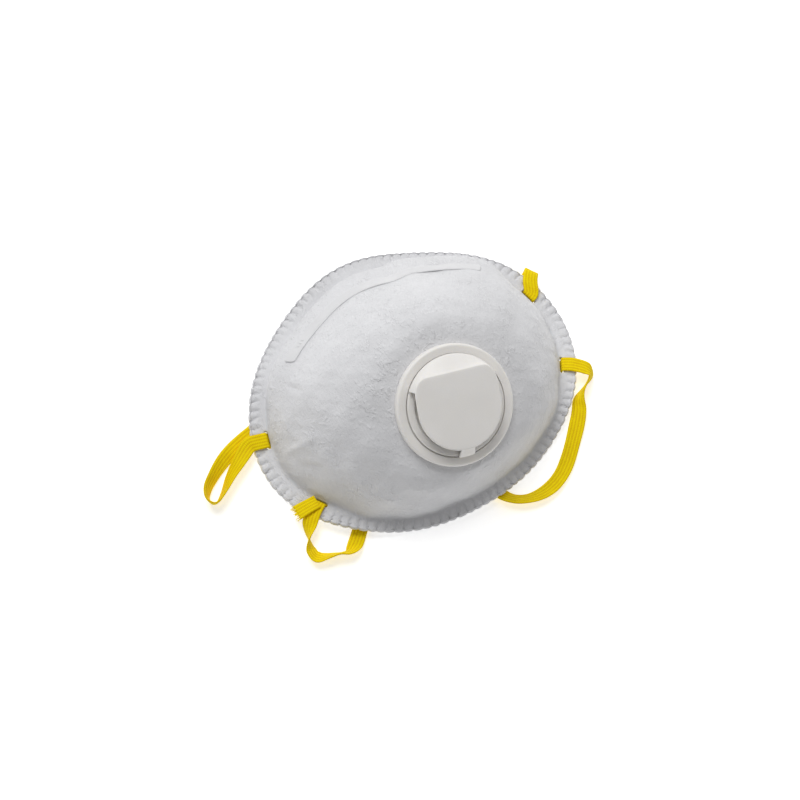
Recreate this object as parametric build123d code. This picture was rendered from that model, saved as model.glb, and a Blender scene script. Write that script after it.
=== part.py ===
from build123d import *
import math
import os

# A disposable cup dust mask with an exhalation valve, lying on its rim.
# Millimetres. +X to the wearer's left cheek, +Y to the nose, -Y to the chin, +Z out of the dome.
# The origin is on the surface the rim stands on, midway between cheeks and between nose and chin.

# ------------------------------------------------------------------ rim and dome
MASK_WIDTH = 135.0        # cheek to cheek
MASK_LENGTH = 113.0       # nose to chin
RIM_CORNER = 1.0          # squareness of the oval
RIM_TAPER = 1.2           # the nose end is this much slimmer than the chin end
FLANGE_WIDTH = 7.5        # flat welded edge, from its edge to the foot of the wall
SHOULDER_FULLNESS = 0.50  # how far the wall keeps its own direction
CROWN_FULLNESS = 0.40     # how far the crown keeps the direction of the valve pad
LEAN_SIDE = 15.0          # degrees the cheek wall leans inwards
LEAN_NOSE = 45.0          # degrees the wall leans inwards at the nose
LEAN_CHIN = 6.0           # degrees the wall leans inwards at the chin

# The rim waves: it touches the ground at its feet and arches between them.
# Each arch: first angle, last angle, height. 0 is the cheek, 90 the nose, -90 the chin.
CHIN_ARCH = (-118.0, -62.0, 3.2)
JAW_ARCH = (-62.0, -8.0, 3.2)
CHEEK_ARCH = (-8.0, 60.0, 3.6)
NOSE_ARCH = (60.0, 120.0, 2.0)
ARCHES = (CHIN_ARCH, JAW_ARCH, CHEEK_ARCH, NOSE_ARCH)
ARCH_STEPS = 6            # an even number, so that a cross-section falls on each arch's top

# ------------------------------------------------------------------ layers, from outside in
COVER_THICK = 0.5
FILTER_THICK = 0.7
SHELL_THICK = 1.0
LAYER_GAP = 0.1
COVER_DEPTH = 0.0
FILTER_DEPTH = COVER_DEPTH + COVER_THICK + LAYER_GAP
SHELL_DEPTH = FILTER_DEPTH + FILTER_THICK + LAYER_GAP
STACK = SHELL_DEPTH + SHELL_THICK

# ------------------------------------------------------------------ exhalation valve
VALVE_Y = -24.4           # centre of the valve, towards the chin
VALVE_HEIGHT = 39.0       # centre of the valve above the ground
VALVE_TILT = 27.0         # degrees the valve faces towards the chin
VALVE_TURN = -15.0        # degrees the valve is turned about its own axis
PAD_RADIUS = 24.0         # flat in the dome that the valve sits on
BASE_RADIUS = 22.5        # outer edge of the valve's flange
BASE_THICK = 1.6          # floor of the base
BASE_RIM_HEIGHT = 2.8     # raised ring round the base, and the sealing ridge
BASE_RIM_WIDTH = 3.4
BASE_EDGE = 1.0           # rounding of the flange's outer edge
BORE_RADIUS = 13.0        # air way
RIDGE_WIDTH = 1.1
NECK_RADIUS = 16.0        # neck that passes through the layers
NECK_WALL = 1.4
SPOKE_WIDTH = 1.4
SPOKE_COUNT = 4
HUB_RADIUS = 2.2
RING_RADIUS = 21.0        # backing ring inside the mask
RING_THICK = 1.6
FIT = 0.05                # clearance of faces that seat on each other
HOLE_CLEARANCE = 0.2      # the layers round the neck

FLAP_THICK = 0.5          # silicone diaphragm
FLAP_OVERLAP = 0.7        # how far the flap passes the sealing ridge
FLAP_HINGE = 11.5         # bending line of the flap, from the valve's centre
ROOT_LENGTH = 2.6         # clamped strip of the flap
ROOT_WIDTH = 15.0

COVER_TOP = 8.0           # flat top of the valve cover above the pad
COVER_WALL = 1.0
COVER_RADIUS = 16.0       # round part of the flat top
COVER_CHORD = 14.0        # straight edge of the flat top, from the valve's centre
COVER_GROOVE = 0.2        # clearance between the cover and the raised ring
ROOF_FOOT = 3.4           # height where the sloping roof meets the raised ring
ROOF_START = 9.0          # the side walls begin here
TAB_WIDTH = 6.0           # bridge opposite the straight edge
TAB_CLEARANCE = 0.5       # tab to flap

# ------------------------------------------------------------------ nose clip and foam
CLIP_WIDTH = 5.0
CLIP_THICK = 0.9
CLIP_FIRST = 29.0         # degrees, where the clip begins and ends: it is glued on a little off centre
CLIP_LAST = 144.0
CLIP_PLACE = 0.24         # along the wall curve, at the nose
CLIP_RISE = 0.04          # how much further up the wall it is at its ends
FOAM_WIDTH = 11.0
FOAM_THICK = 3.5
FOAM_FIRST = 38.0
FOAM_LAST = 142.0
FOAM_PLACE = 0.22
STRIP_STEPS = 12
GLUE_GAP = 0.1
FOAM_GAP = 0.6            # the foam is flat across its width and the wall is hollow there

# ------------------------------------------------------------------ head bands
BAND_WIDTH = 6.0
BAND_THICK = 0.65
BAND_CORE = 2.23          # round tube with the band's own section area
SLOT_LENGTH = 8.0
SLOT_WIDTH = 1.8
SLOT_INSET = 6.2          # from the rim's edge to the middle of the slot
UPPER_SLOT = 7.2          # degrees
LOWER_SLOT = -23.1
WRAP_REACH = 0.9          # how far the band's flat start passes the rim's edge
WRAP_GAP = 0.2 
LEAD_LENGTH = 4.0         # how far a band runs straight out of its wrap
TAIL_LENGTH = 9.0         # cut end of the lower band, left standing out of its slot
TAIL_START = 1.5          # clear of the foot of the wall
TAIL_TURN = -36.0         # degrees the cut end is turned from the rim's outward direction
TAIL_LIFT = 6.0           # degrees the cut end rises away from the flange

GROUND = 1.13             # height of a band's core that lies on the ground
UPPER_ROUTE = (
    (-76.5, 6.2, 3.1), (-84.0, 0.6, 1.8), (-91.0, -2.8, GROUND), (-95.3, -1.0, GROUND),
    (-94.3, 4.3, GROUND), (-86.5, 8.6, GROUND), (-77.5, 12.4, GROUND), (-69.0, 16.4, GROUND),
    (-60.5, 18.2, GROUND), (-46.0, 24.0, GROUND), (-28.0, 34.0, GROUND), (-12.0, 27.0, GROUND),
    (-8.0, 12.0, GROUND), (6.0, 4.0, GROUND), (20.0, 13.0, GROUND), (26.0, 28.0, GROUND),
    (42.0, 31.0, GROUND), (53.0, 25.5, GROUND), (61.0, 20.5, GROUND), (68.8, 18.6, 1.3),
    (73.0, 14.8, 2.6))
LOWER_ROUTE = (
    (-68.0, -34.2, 3.6), (-69.6, -40.0, 1.9), (-66.8, -45.6, GROUND), (-60.5, -48.6, GROUND),
    (-54.0, -46.8, GROUND), (-47.8, -41.5, GROUND), (-40.0, -33.5, GROUND), (-37.0, -20.0, GROUND),
    (-27.0, -9.0, GROUND), (-12.0, -7.0, GROUND), (0.0, -15.0, GROUND), (13.0, -19.0, GROUND),
    (27.0, -12.0, GROUND), (38.0, -17.0, GROUND), (37.0, -31.0, GROUND), (24.0, -36.0, GROUND),
    (11.0, -38.0, GROUND), (5.0, -47.0, GROUND), (5.5, -57.0, GROUND), (11.5, -64.0, GROUND),
    (21.0, -66.0, GROUND), (32.0, -62.8, GROUND), (42.0, -57.0, GROUND), (50.5, -49.5, GROUND),
    (58.5, -42.2, 1.9), (65.2, -36.4, 3.5))

EX = Vector(1, 0, 0)
EZ = Vector(0, 0, 1)


def rad(degrees):
    return math.radians(degrees)


# ------------------------------------------------------------------ rim
def folded(angle):
    """Angle of the same place on the +X half: -90 at the chin to 90 at the nose."""
    return math.degrees(math.asin(math.sin(rad(angle))))


def rim_radius(angle):
    """Polar radius of the rim: an oval, squared a little, and slimmer at the nose."""
    mean = (MASK_WIDTH + MASK_LENGTH) / 4 - RIM_CORNER
    oval = (MASK_WIDTH - MASK_LENGTH) / 4 * math.cos(2 * rad(angle))
    corner = RIM_CORNER * math.cos(4 * rad(angle))
    taper = RIM_TAPER * (math.sin(rad(angle)) + math.sin(3 * rad(angle)))
    return mean + oval + corner - taper


def rim_lift(angle):
    """Height of the rim's underside: a smooth arch between each two feet."""
    side = folded(angle)
    for start, end, height in ARCHES:
        if start <= side <= end:
            share = (side - start) / (end - start)
            return height * math.sin(math.pi * share) ** 2
    return 0.0


def outward(angle):
    return Vector(math.cos(rad(angle)), math.sin(rad(angle)), 0)


def flange_point(angle, inset, depth):
    """A point on the flange, inset from its edge and depth below its top face."""
    reach = rim_radius(angle) - inset
    return outward(angle) * reach + EZ * (rim_lift(angle) + STACK - depth)


# ------------------------------------------------------------------ valve pad
TILT_UP = Vector(0, math.cos(rad(VALVE_TILT)), math.sin(rad(VALVE_TILT)))
VALVE_AXIS = Vector(0, -math.sin(rad(VALVE_TILT)), math.cos(rad(VALVE_TILT)))
VALVE_CENTRE = Vector(0, VALVE_Y, VALVE_HEIGHT)
VALVE_RIGHT = EX * math.cos(rad(VALVE_TURN)) + TILT_UP * math.sin(rad(VALVE_TURN))
VALVE_PLANE = Plane(origin=VALVE_CENTRE, x_dir=VALVE_RIGHT, z_dir=VALVE_AXIS)


def pad_outward(angle):
    return EX * math.cos(rad(angle)) + TILT_UP * math.sin(rad(angle))


def pad_point(angle, radius, depth):
    """A point on the flat under the valve, depth below its outer face."""
    return VALVE_CENTRE + pad_outward(angle) * radius - VALVE_AXIS * depth


# ------------------------------------------------------------------ dome wall
def wall_lean(angle):
    rise = math.sin(rad(angle))
    end = LEAN_NOSE if rise > 0 else LEAN_CHIN
    return LEAN_SIDE + (end - LEAN_SIDE) * rise * rise


def wall_controls(angle, depth):
    """Four control points of the wall's curve, from the flange to the valve pad."""
    lean = rad(wall_lean(angle))
    foot = flange_point(angle, FLANGE_WIDTH, depth) - outward(angle) * depth
    crown = pad_point(angle, PAD_RADIUS, depth)
    rise = crown.Z - foot.Z
    run = math.hypot(crown.X - foot.X, crown.Y - foot.Y)
    leaning = EZ * math.cos(lean) - outward(angle) * math.sin(lean)
    shoulder = foot + leaning * (SHOULDER_FULLNESS * rise)
    brow = crown + pad_outward(angle) * (CROWN_FULLNESS * run)
    return foot, shoulder, brow, crown


def wall_point(angle, share, depth):
    """A point on the wall's curve, share 0 at the flange and 1 at the valve pad."""
    a, b, c, d = wall_controls(angle, depth)
    rest = 1 - share
    return a * rest ** 3 + b * (3 * rest * rest * share) + c * (3 * rest * share * share) + d * share ** 3


def wall_normal(angle, share):
    """Outward normal of the wall's outer face."""
    step = 0.01
    up = wall_point(angle, share + step, 0) - wall_point(angle, share - step, 0)
    along = wall_point(angle + 1, share, 0) - wall_point(angle - 1, share, 0)
    return along.cross(up).normalized()


# ------------------------------------------------------------------ layers
def section_angles():
    """Angles of the cross-sections on the +X half: each arch in equal steps, foot to foot."""
    angles = []
    for start, end, _ in ARCHES:
        for step in range(ARCH_STEPS):
            angle = start + (end - start) * step / ARCH_STEPS
            if -90 <= angle < 90:
                angles.append(angle)
    return angles + [90.0]


def layer_section(angle, outer, inner):
    """Closed outline of a layer's cut face: flange, wall, valve pad and back."""
    hole = NECK_RADIUS + HOLE_CLEARANCE
    edge_top = flange_point(angle, 0, outer)
    edge_low = flange_point(angle, 0, inner)
    top = wall_controls(angle, outer)
    low = wall_controls(angle, inner)
    hole_top = pad_point(angle, hole, outer)
    hole_low = pad_point(angle, hole, inner)
    return Wire([
        Edge.make_line(edge_top, top[0]),
        Edge.make_bezier(*top),
        Edge.make_line(top[3], hole_top),
        Edge.make_line(hole_top, hole_low),
        Edge.make_line(hole_low, low[3]),
        Edge.make_bezier(*reversed(low)),
        Edge.make_line(low[0], edge_low),
        Edge.make_line(edge_low, edge_top),
    ])


def slot_plane(angle):
    """Plane on the flange's top at a slot: x outwards, y along the rim, z out of the face."""
    step = 2.0
    origin = flange_point(angle, SLOT_INSET, 0)
    along = flange_point(angle + step, SLOT_INSET, 0) - flange_point(angle - step, SLOT_INSET, 0)
    level = along.cross(EZ).normalized() * SLOT_INSET
    edge = origin + level
    edge_lift = rim_lift(math.degrees(math.atan2(edge.Y, edge.X)))
    across = (level + EZ * (edge_lift - rim_lift(angle))).normalized()
    return Plane(origin=origin, x_dir=across, z_dir=across.cross(along))


def slot_cutter(angle):
    return slot_plane(angle) * Box(SLOT_WIDTH, SLOT_LENGTH, 4 * STACK)


def layer(depth, thick):
    """One pressed layer of the cup: half lofted from nose to chin, mirrored and joined."""
    sections = [layer_section(angle, depth, depth + thick) for angle in section_angles()]
    half = Solid.make_loft(sections)
    whole = half.fuse(half.mirror(Plane.YZ))
    for slot in SLOT_ANGLES:
        whole = whole - slot_cutter(slot)
    return whole


SLOT_ANGLES = (UPPER_SLOT, LOWER_SLOT, 180 - UPPER_SLOT, 180 - LOWER_SLOT)


# ------------------------------------------------------------------ strips on the nose
def strip_section(angle, place, width, near, far):
    """Four-sided section of a strip that lies on the wall between two depths."""
    middle = wall_point(angle, place, near)
    normal = wall_normal(angle, place)
    along = wall_point(angle + 1, place, near) - wall_point(angle - 1, place, near)
    across = normal.cross(along).normalized() * (width / 2)
    lift = normal * (near - far)
    corners = [middle - across, middle + across, middle + across + lift, middle - across + lift]
    return Wire([Edge.make_line(corners[i], corners[(i + 1) % 4]) for i in range(4)])


def nose_strip(first, last, place, rise, width, near, far):
    """A strip bent over the nose from the first angle to the last, higher on the wall at its ends."""
    sections = []
    for i in range(STRIP_STEPS + 1):
        share = i / STRIP_STEPS
        angle = first + (last - first) * share
        drop = abs(2 * share - 1)
        sections.append(strip_section(angle, place + rise * drop, width, near, far))
    return Solid.make_loft(sections)


def nose_clip():
    near = -GLUE_GAP
    return nose_strip(CLIP_FIRST, CLIP_LAST, CLIP_PLACE, CLIP_RISE, CLIP_WIDTH, near, near - CLIP_THICK)


def nose_foam():
    near = STACK + FOAM_GAP
    return nose_strip(FOAM_FIRST, FOAM_LAST, FOAM_PLACE, 0, FOAM_WIDTH, near, near + FOAM_THICK)


# ------------------------------------------------------------------ valve pieces
def disc(radius, low, high):
    height = high - low
    return Pos(0, 0, low + height / 2) * Cylinder(radius, height)


def tube(outer, inner, low, high):
    return disc(outer, low, high) - disc(inner, low - 1, high + 1)


def slab(x, y, low, high, y0=0.0):
    """Box centred on x, starting at y0 and y long, between two heights."""
    return Pos(0, y0 + y / 2, (low + high) / 2) * Box(x, y, high - low)


SEAT = FIT + BASE_THICK
RIDGE_TOP = FIT + BASE_RIM_HEIGHT
RING_LOW = -STACK - FIT - RING_THICK
GROOVE_RADIUS = BASE_RADIUS - BASE_RIM_WIDTH
RIDGE_RADIUS = BORE_RADIUS + RIDGE_WIDTH
FLAP_LOW = RIDGE_TOP + FIT
FLAP_TOP = FLAP_LOW + FLAP_THICK
FLAP_RADIUS = RIDGE_RADIUS + FLAP_OVERLAP


def valve_base():
    floor = tube(BASE_RADIUS, BORE_RADIUS, FIT, SEAT)
    rim = tube(BASE_RADIUS, GROOVE_RADIUS, FIT, RIDGE_TOP)
    ridge = tube(RIDGE_RADIUS, BORE_RADIUS, FIT, RIDGE_TOP)
    neck = tube(NECK_RADIUS, NECK_RADIUS - NECK_WALL, RING_LOW, FIT)
    body = floor + rim + ridge + neck + disc(HUB_RADIUS, FIT, SEAT)
    for i in range(SPOKE_COUNT):
        spoke = slab(SPOKE_WIDTH, RIDGE_RADIUS, FIT, SEAT)
        body = body + Rot(0, 0, 360 * (i + 0.5) / SPOKE_COUNT) * spoke
    outer = body.edges().filter_by(GeomType.CIRCLE).filter_by(lambda e: abs(e.radius - BASE_RADIUS) < FIT)
    return fillet(outer.sort_by(Axis.Z)[-1], min(BASE_EDGE, BASE_RIM_HEIGHT / 2))


def backing_ring():
    return tube(RING_RADIUS, NECK_RADIUS + FIT, RING_LOW, RING_LOW + RING_THICK)


def flap():
    round_part = disc(FLAP_RADIUS, FLAP_LOW, FLAP_TOP)
    return round_part & slab(4 * FLAP_RADIUS, 4 * FLAP_RADIUS, 0, COVER_TOP, FLAP_HINGE - 4 * FLAP_RADIUS)


def flap_root():
    start = FLAP_HINGE + LAYER_GAP
    return slab(ROOT_WIDTH, ROOT_LENGTH, FLAP_LOW, FLAP_TOP, start)


def valve_cover():
    reach = GROOVE_RADIUS - COVER_GROOVE
    low = SEAT + FIT
    under = COVER_TOP - COVER_WALL
    squared = disc(COVER_RADIUS, under, COVER_TOP) + slab(2 * COVER_RADIUS, COVER_CHORD, under, COVER_TOP)
    top = squared & disc(reach, under, COVER_TOP)
    hood = disc(reach, low, COVER_TOP) & slab(4 * reach, reach, low, COVER_TOP, ROOF_START)
    hollow = disc(reach - COVER_WALL, 0, under) & slab(4 * reach, COVER_CHORD + COVER_WALL / 2, 0, under, 0)
    slope = math.degrees(math.atan2(COVER_TOP - ROOF_FOOT, reach - COVER_CHORD))
    above = Pos(0, COVER_CHORD, COVER_TOP) * (Rot(-slope, 0, 0) * slab(6 * reach, 2 * reach, 0, reach, 0))
    clamp_start = FLAP_HINGE + 2 * LAYER_GAP
    clamp = slab(ROOT_WIDTH, ROOT_LENGTH, FLAP_TOP + FIT, COVER_TOP - COVER_WALL / 2, clamp_start)
    tab_inner = FLAP_RADIUS + TAB_CLEARANCE
    tab = tube(reach, tab_inner, low, COVER_TOP) & slab(TAB_WIDTH, reach, low, COVER_TOP, -reach)
    far_half = slab(6 * reach, 2 * reach, 0, reach, -2 * reach)
    beyond = Pos(0, -COVER_RADIUS, COVER_TOP) * (Rot(slope, 0, 0) * far_half)
    return top + (hood - hollow - above) + clamp + (tab - beyond)


# ------------------------------------------------------------------ head bands
def wrap(angle):
    """Flat start of a band: up through its slot and over the flange to just past its edge."""
    plane = slot_plane(angle)
    reach = SLOT_INSET + WRAP_REACH
    leg_height = STACK + WRAP_GAP + BAND_THICK
    leg = Pos(0, 0, WRAP_GAP + BAND_THICK - leg_height / 2) * Box(BAND_THICK, BAND_WIDTH, leg_height)
    lay = Pos(reach / 2, 0, WRAP_GAP + BAND_THICK / 2) * Box(reach, BAND_WIDTH, BAND_THICK)
    return plane * (leg + lay)


def wrap_end(angle, beyond):
    """Middle of a wrap's end face, or a point straight out from it."""
    plane = slot_plane(angle)
    reach = SLOT_INSET + WRAP_REACH + beyond
    return plane.origin + plane.x_dir * reach + plane.z_dir * (WRAP_GAP + BAND_THICK / 2)


def tail(angle):
    """Cut end of the lower band, lying over the wrap at its slot."""
    low = WRAP_GAP + BAND_THICK + LAYER_GAP
    middle = TAIL_START + TAIL_LENGTH / 2
    strip = Pos(middle, 0, low + BAND_THICK / 2) * Box(TAIL_LENGTH, BAND_WIDTH, BAND_THICK)
    return slot_plane(angle) * (Rot(0, 0, TAIL_TURN) * (Rot(0, -TAIL_LIFT, 0) * strip))


def corner_radii(points):
    """Each corner's arc is as large as its two runs leave room for."""
    radii = []
    for before, here, after in zip(points, points[1:], points[2:]):
        first = here - before
        second = after - here
        half_turn = rad(first.get_angle(second)) / 2
        radii.append(0.45 * min(first.length, second.length) / math.tan(half_turn))
    return radii


def band_core(name, first_slot, last_slot, route):
    """Round core of a band: straight runs joined by tangent arcs, from wrap to wrap."""
    points = [wrap_end(first_slot, 0), wrap_end(first_slot, LEAD_LENGTH)]
    points += [Vector(*place) for place in route]
    points += [wrap_end(last_slot, LEAD_LENGTH), wrap_end(last_slot, 0)]
    radii = corner_radii(points)
    path = FilletPolyline(*points, radius=radii)
    core = sweep(Plane(origin=path @ 0, z_dir=path % 0) * Circle(BAND_CORE / 2), path=path)
    expected = math.pi * BAND_CORE ** 2 / 4 * path.length
    print(name, "length", round(path.length, 1), "volume share", round(core.volume / expected, 4))
    print(name, "radii", [round(r, 1) for r in radii])
    return core


def write(name, shape):
    os.makedirs("parts", exist_ok=True)
    shape.label = name
    export_step(shape, f"parts/{name}.step")
    return shape


if __name__ == "__main__":
    write("outer_cover", layer(COVER_DEPTH, COVER_THICK))
    write("filter_layer", layer(FILTER_DEPTH, FILTER_THICK))
    write("inner_shell", layer(SHELL_DEPTH, SHELL_THICK))
    write("nose_clip", nose_clip())
    write("nose_foam", nose_foam())
    write("valve_base", VALVE_PLANE * valve_base())
    write("valve_backing_ring", VALVE_PLANE * backing_ring())
    write("valve_flap", VALVE_PLANE * flap())
    write("flap_root", VALVE_PLANE * flap_root())
    write("valve_cover", VALVE_PLANE * valve_cover())
    write("upper_band_wrap_right", wrap(UPPER_SLOT))
    write("upper_band_wrap_left", wrap(180 - UPPER_SLOT))
    write("lower_band_wrap_right", wrap(LOWER_SLOT))
    write("lower_band_wrap_left", wrap(180 - LOWER_SLOT))
    write("lower_band_tail", tail(180 - LOWER_SLOT))
    write("upper_band", band_core("upper_band", 180 - UPPER_SLOT, UPPER_SLOT, UPPER_ROUTE))
    write("lower_band", band_core("lower_band", 180 - LOWER_SLOT, LOWER_SLOT, LOWER_ROUTE))
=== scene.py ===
# %% [markdown]
# # A disposable dust mask
# This lesson dresses a moulded cup mask: a needle-felt cup with a ribbed weld round its edge, a round
# exhalation valve, a nose clip and two flat elastic bands. The CAD model is loaded first and stays as it
# is. Each piece made here is a surface worked out with numpy, in the same frame, and all but the valve flap
# ride on the mask's body.

# %% Load the frame
import bpy
import numpy as np
from mathutils import Matrix, Vector


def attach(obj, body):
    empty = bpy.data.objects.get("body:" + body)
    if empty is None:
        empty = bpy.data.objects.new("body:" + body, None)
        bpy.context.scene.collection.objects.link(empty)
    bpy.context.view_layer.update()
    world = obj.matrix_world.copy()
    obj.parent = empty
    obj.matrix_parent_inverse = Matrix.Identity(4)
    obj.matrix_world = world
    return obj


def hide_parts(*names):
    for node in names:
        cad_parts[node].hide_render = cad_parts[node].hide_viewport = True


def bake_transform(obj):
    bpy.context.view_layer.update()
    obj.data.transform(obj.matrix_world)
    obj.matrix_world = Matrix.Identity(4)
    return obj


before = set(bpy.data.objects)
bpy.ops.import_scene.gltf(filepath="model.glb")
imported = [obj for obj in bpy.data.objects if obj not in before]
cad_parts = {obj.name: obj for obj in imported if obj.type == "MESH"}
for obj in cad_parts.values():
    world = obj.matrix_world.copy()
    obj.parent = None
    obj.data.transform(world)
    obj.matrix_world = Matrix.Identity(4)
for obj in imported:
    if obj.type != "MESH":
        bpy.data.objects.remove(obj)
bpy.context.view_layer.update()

# %% [markdown]
# ## Camera
# The mask lies on its rim and is seen from almost straight above, turned and rolled a little. A long lens
# from 0.6 m keeps the perspective gentle. The camera is aimed beside the origin, so that the mask sits a
# little right of the middle and above it, and no lens shift is needed.

# %% Camera
CAMERA_DISTANCE = 0.6
CAMERA_TURN = np.radians(-42.87)
CAMERA_RISE = np.radians(70.43)
CAMERA_ROLL = np.radians(12.1)
CAMERA_LENS = 68.9
AIM_RIGHT, AIM_UP = -0.0040, -0.0055


def new_object(name, data):
    """An object that carries the data, put into the scene."""
    made = bpy.data.objects.new(name, data)
    bpy.context.scene.collection.objects.link(made)
    return made


def camera_axes(turn, rise, roll):
    """Right, up and back of a camera: back points from the aim to the camera, roll turns about it."""
    back = np.array([np.sin(turn) * np.cos(rise), -np.cos(turn) * np.cos(rise), np.sin(rise)])
    level = np.array([np.cos(turn), np.sin(turn), 0.0])
    upright = np.cross(back, level)
    right = level * np.cos(roll) + upright * np.sin(roll)
    return right, np.cross(back, right), back


VIEW_RIGHT, VIEW_UP, VIEW_BACK = camera_axes(CAMERA_TURN, CAMERA_RISE, CAMERA_ROLL)
aim = VIEW_RIGHT * AIM_RIGHT + VIEW_UP * AIM_UP
camera = new_object("camera", bpy.data.cameras.new("camera"))
turned = Matrix((VIEW_RIGHT, VIEW_UP, VIEW_BACK)).transposed().to_4x4()
camera.matrix_world = Matrix.Translation(Vector(aim + VIEW_BACK * CAMERA_DISTANCE)) @ turned
camera.data.lens = CAMERA_LENS
camera.data.clip_start = 0.01
bpy.context.scene.camera = camera
print("camera at", [round(v, 3) for v in camera.location])

# %% [markdown]
# ## The shape of the cup
# Everything on the mask follows two lines: the rim, a slightly squared oval that arches between its feet,
# and the flat round pad that carries the valve. Between them the wall is a cubic Bezier curve at every
# angle. The functions below take whole arrays, in millimetres, and the CAD model uses the same formulas.

# %% Rim, pad and wall as functions
MM = 0.001
MASK_WIDTH, MASK_LENGTH = 135.0, 113.0
RIM_CORNER, RIM_TAPER = 1.0, 1.2
FLANGE_WIDTH = 7.5
FOOT_SHIFT, FOOT_FADE = 2.5, 14.0
FOOT_NEAR = ((-152.0, -28.0), (13.0, 76.0))
STACK = 2.4
ARCHES = ((-118.0, -62.0, 3.2), (-62.0, -8.0, 3.2), (-8.0, 60.0, 3.6), (60.0, 120.0, 2.0))
SHOULDER_FULLNESS, CROWN_FULLNESS = 0.50, 0.40
LEAN_SIDE, LEAN_NOSE, LEAN_CHIN = 15.0, 45.0, 6.0
PAD_RADIUS = 24.0
VALVE_TILT, VALVE_TURN = np.radians(27.0), np.radians(-15.0)
EX, EZ = np.array([1.0, 0.0, 0.0]), np.array([0.0, 0.0, 1.0])
TILT_UP = np.array([0.0, np.cos(VALVE_TILT), np.sin(VALVE_TILT)])
VALVE_AXIS = np.array([0.0, -np.sin(VALVE_TILT), np.cos(VALVE_TILT)])
VALVE_CENTRE = np.array([0.0, -24.4, 39.0])
VALVE_RIGHT = EX * np.cos(VALVE_TURN) + TILT_UP * np.sin(VALVE_TURN)
VALVE_AHEAD = np.cross(VALVE_AXIS, VALVE_RIGHT)


def rim_radius(angle):
    """Mean radius + half the difference x cos 2a + corner x cos 4a - taper x (sin a + sin 3a)."""
    mean = (MASK_WIDTH + MASK_LENGTH) / 4 - RIM_CORNER
    oval = (MASK_WIDTH - MASK_LENGTH) / 4 * np.cos(2 * angle)
    return mean + oval + RIM_CORNER * np.cos(4 * angle) - RIM_TAPER * (np.sin(angle) + np.sin(3 * angle))


def rim_lift(angle):
    """Between two feet the rim rises by height x sin squared of the share of the way."""
    side = np.degrees(np.arcsin(np.sin(angle)))
    lift = np.zeros_like(side)
    for start, end, height in ARCHES:
        share = (side - start) / (end - start)
        lift += np.where((share > 0) & (share < 1), height * np.sin(np.pi * share) ** 2, 0)
    return lift


def outward(angle):
    """Unit vector away from the middle of the mask, level."""
    return np.stack([np.cos(angle), np.sin(angle), np.zeros_like(angle)], -1)


def flange_point(angle, inset, depth):
    """A point of the flange: inset from its edge, depth below its top face."""
    angle, inset, depth = np.broadcast_arrays(angle, inset, depth)
    reach = rim_radius(angle) - inset
    return outward(angle) * reach[..., None] + EZ * (rim_lift(angle) + STACK - depth)[..., None]


def pad_point(angle, radius, depth):
    """A point of the flat under the valve: centre + radius x its own outward direction."""
    angle, radius, depth = np.broadcast_arrays(angle, radius, depth)
    around = EX * np.cos(angle)[..., None] + TILT_UP * np.sin(angle)[..., None]
    return VALVE_CENTRE + around * radius[..., None] - VALVE_AXIS * depth[..., None]


def foot_inset(angle):
    """The wall rises closer to the edge at the chin and the right cheek, but not beside a slot."""
    turn = np.degrees(np.mod(angle + np.pi, 2 * np.pi) - np.pi)
    return FLANGE_WIDTH - FOOT_SHIFT * sum(window(turn, *place, FOOT_FADE) for place in FOOT_NEAR)


def wall_point(angle, share, depth):
    """Cubic Bezier from the flange (share 0) to the pad (share 1)."""
    angle, share, depth = (a.astype(float) for a in np.broadcast_arrays(angle, share, depth))
    rise = np.sin(angle)
    end_lean = np.where(rise > 0, LEAN_NOSE, LEAN_CHIN)
    lean = np.radians(LEAN_SIDE + (end_lean - LEAN_SIDE) * rise ** 2)[..., None]
    away = outward(angle)
    foot = flange_point(angle, foot_inset(angle), depth) - away * depth[..., None]
    crown = pad_point(angle, PAD_RADIUS, depth)
    across = crown - foot
    shoulder = foot + (EZ * np.cos(lean) - away * np.sin(lean)) * SHOULDER_FULLNESS * across[..., 2:]
    run = np.hypot(across[..., 0], across[..., 1])[..., None]
    brow = crown + (pad_point(angle, 1.0, 0.0) - VALVE_CENTRE) * CROWN_FULLNESS * run
    t = share[..., None]
    return (foot * (1 - t) ** 3 + shoulder * 3 * t * (1 - t) ** 2
            + brow * 3 * t ** 2 * (1 - t) + crown * t ** 3)


def valve_point(right, ahead, height):
    """A point in the valve's own axes: to its right, ahead to its hinge, and out of the cup."""
    right, ahead, height = (part[..., None] for part in np.broadcast_arrays(right, ahead, height))
    return VALVE_CENTRE + VALVE_RIGHT * right + VALVE_AHEAD * ahead + VALVE_AXIS * height


def valve_rings(radius, turn, height):
    """Points round the valve's axis, at each radius, turn and height."""
    return valve_point(radius * np.cos(turn), radius * np.sin(turn), height)


def unit(vectors):
    """Vectors scaled to length one."""
    return vectors / np.maximum(np.linalg.norm(vectors, axis=-1, keepdims=True), 1e-9)


def smooth_step(value, start, end):
    """0 before start, 1 after end, and 3t squared - 2t cubed between."""
    t = np.clip((value - start) / (end - start), 0, 1)
    return t * t * (3 - 2 * t)


def squared_off(wave, power):
    """A wave with flatter tops: its sign x its size to a power below one."""
    return np.sign(wave) * np.abs(wave) ** power


def window(value, start, end, fade):
    """1 between start and end, with a smooth step of length fade inside each."""
    return smooth_step(value, start, start + fade) * (1 - smooth_step(value, end - fade, end))


print("wall height at the nose", round(float(wall_point(np.radians(90.0), 1.0, 0.0)[2]), 1), "mm")

# %% [markdown]
# ## Putting a grid of points into a mesh
# Every piece below is a grid: one direction runs round a closed ring, the other along or across the piece.
# One helper turns such a grid into a mesh with whole arrays. It closes the ring, closes or caps the ends,
# and turns the faces outwards by the sign of the volume, so no shell is inside out.

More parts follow.
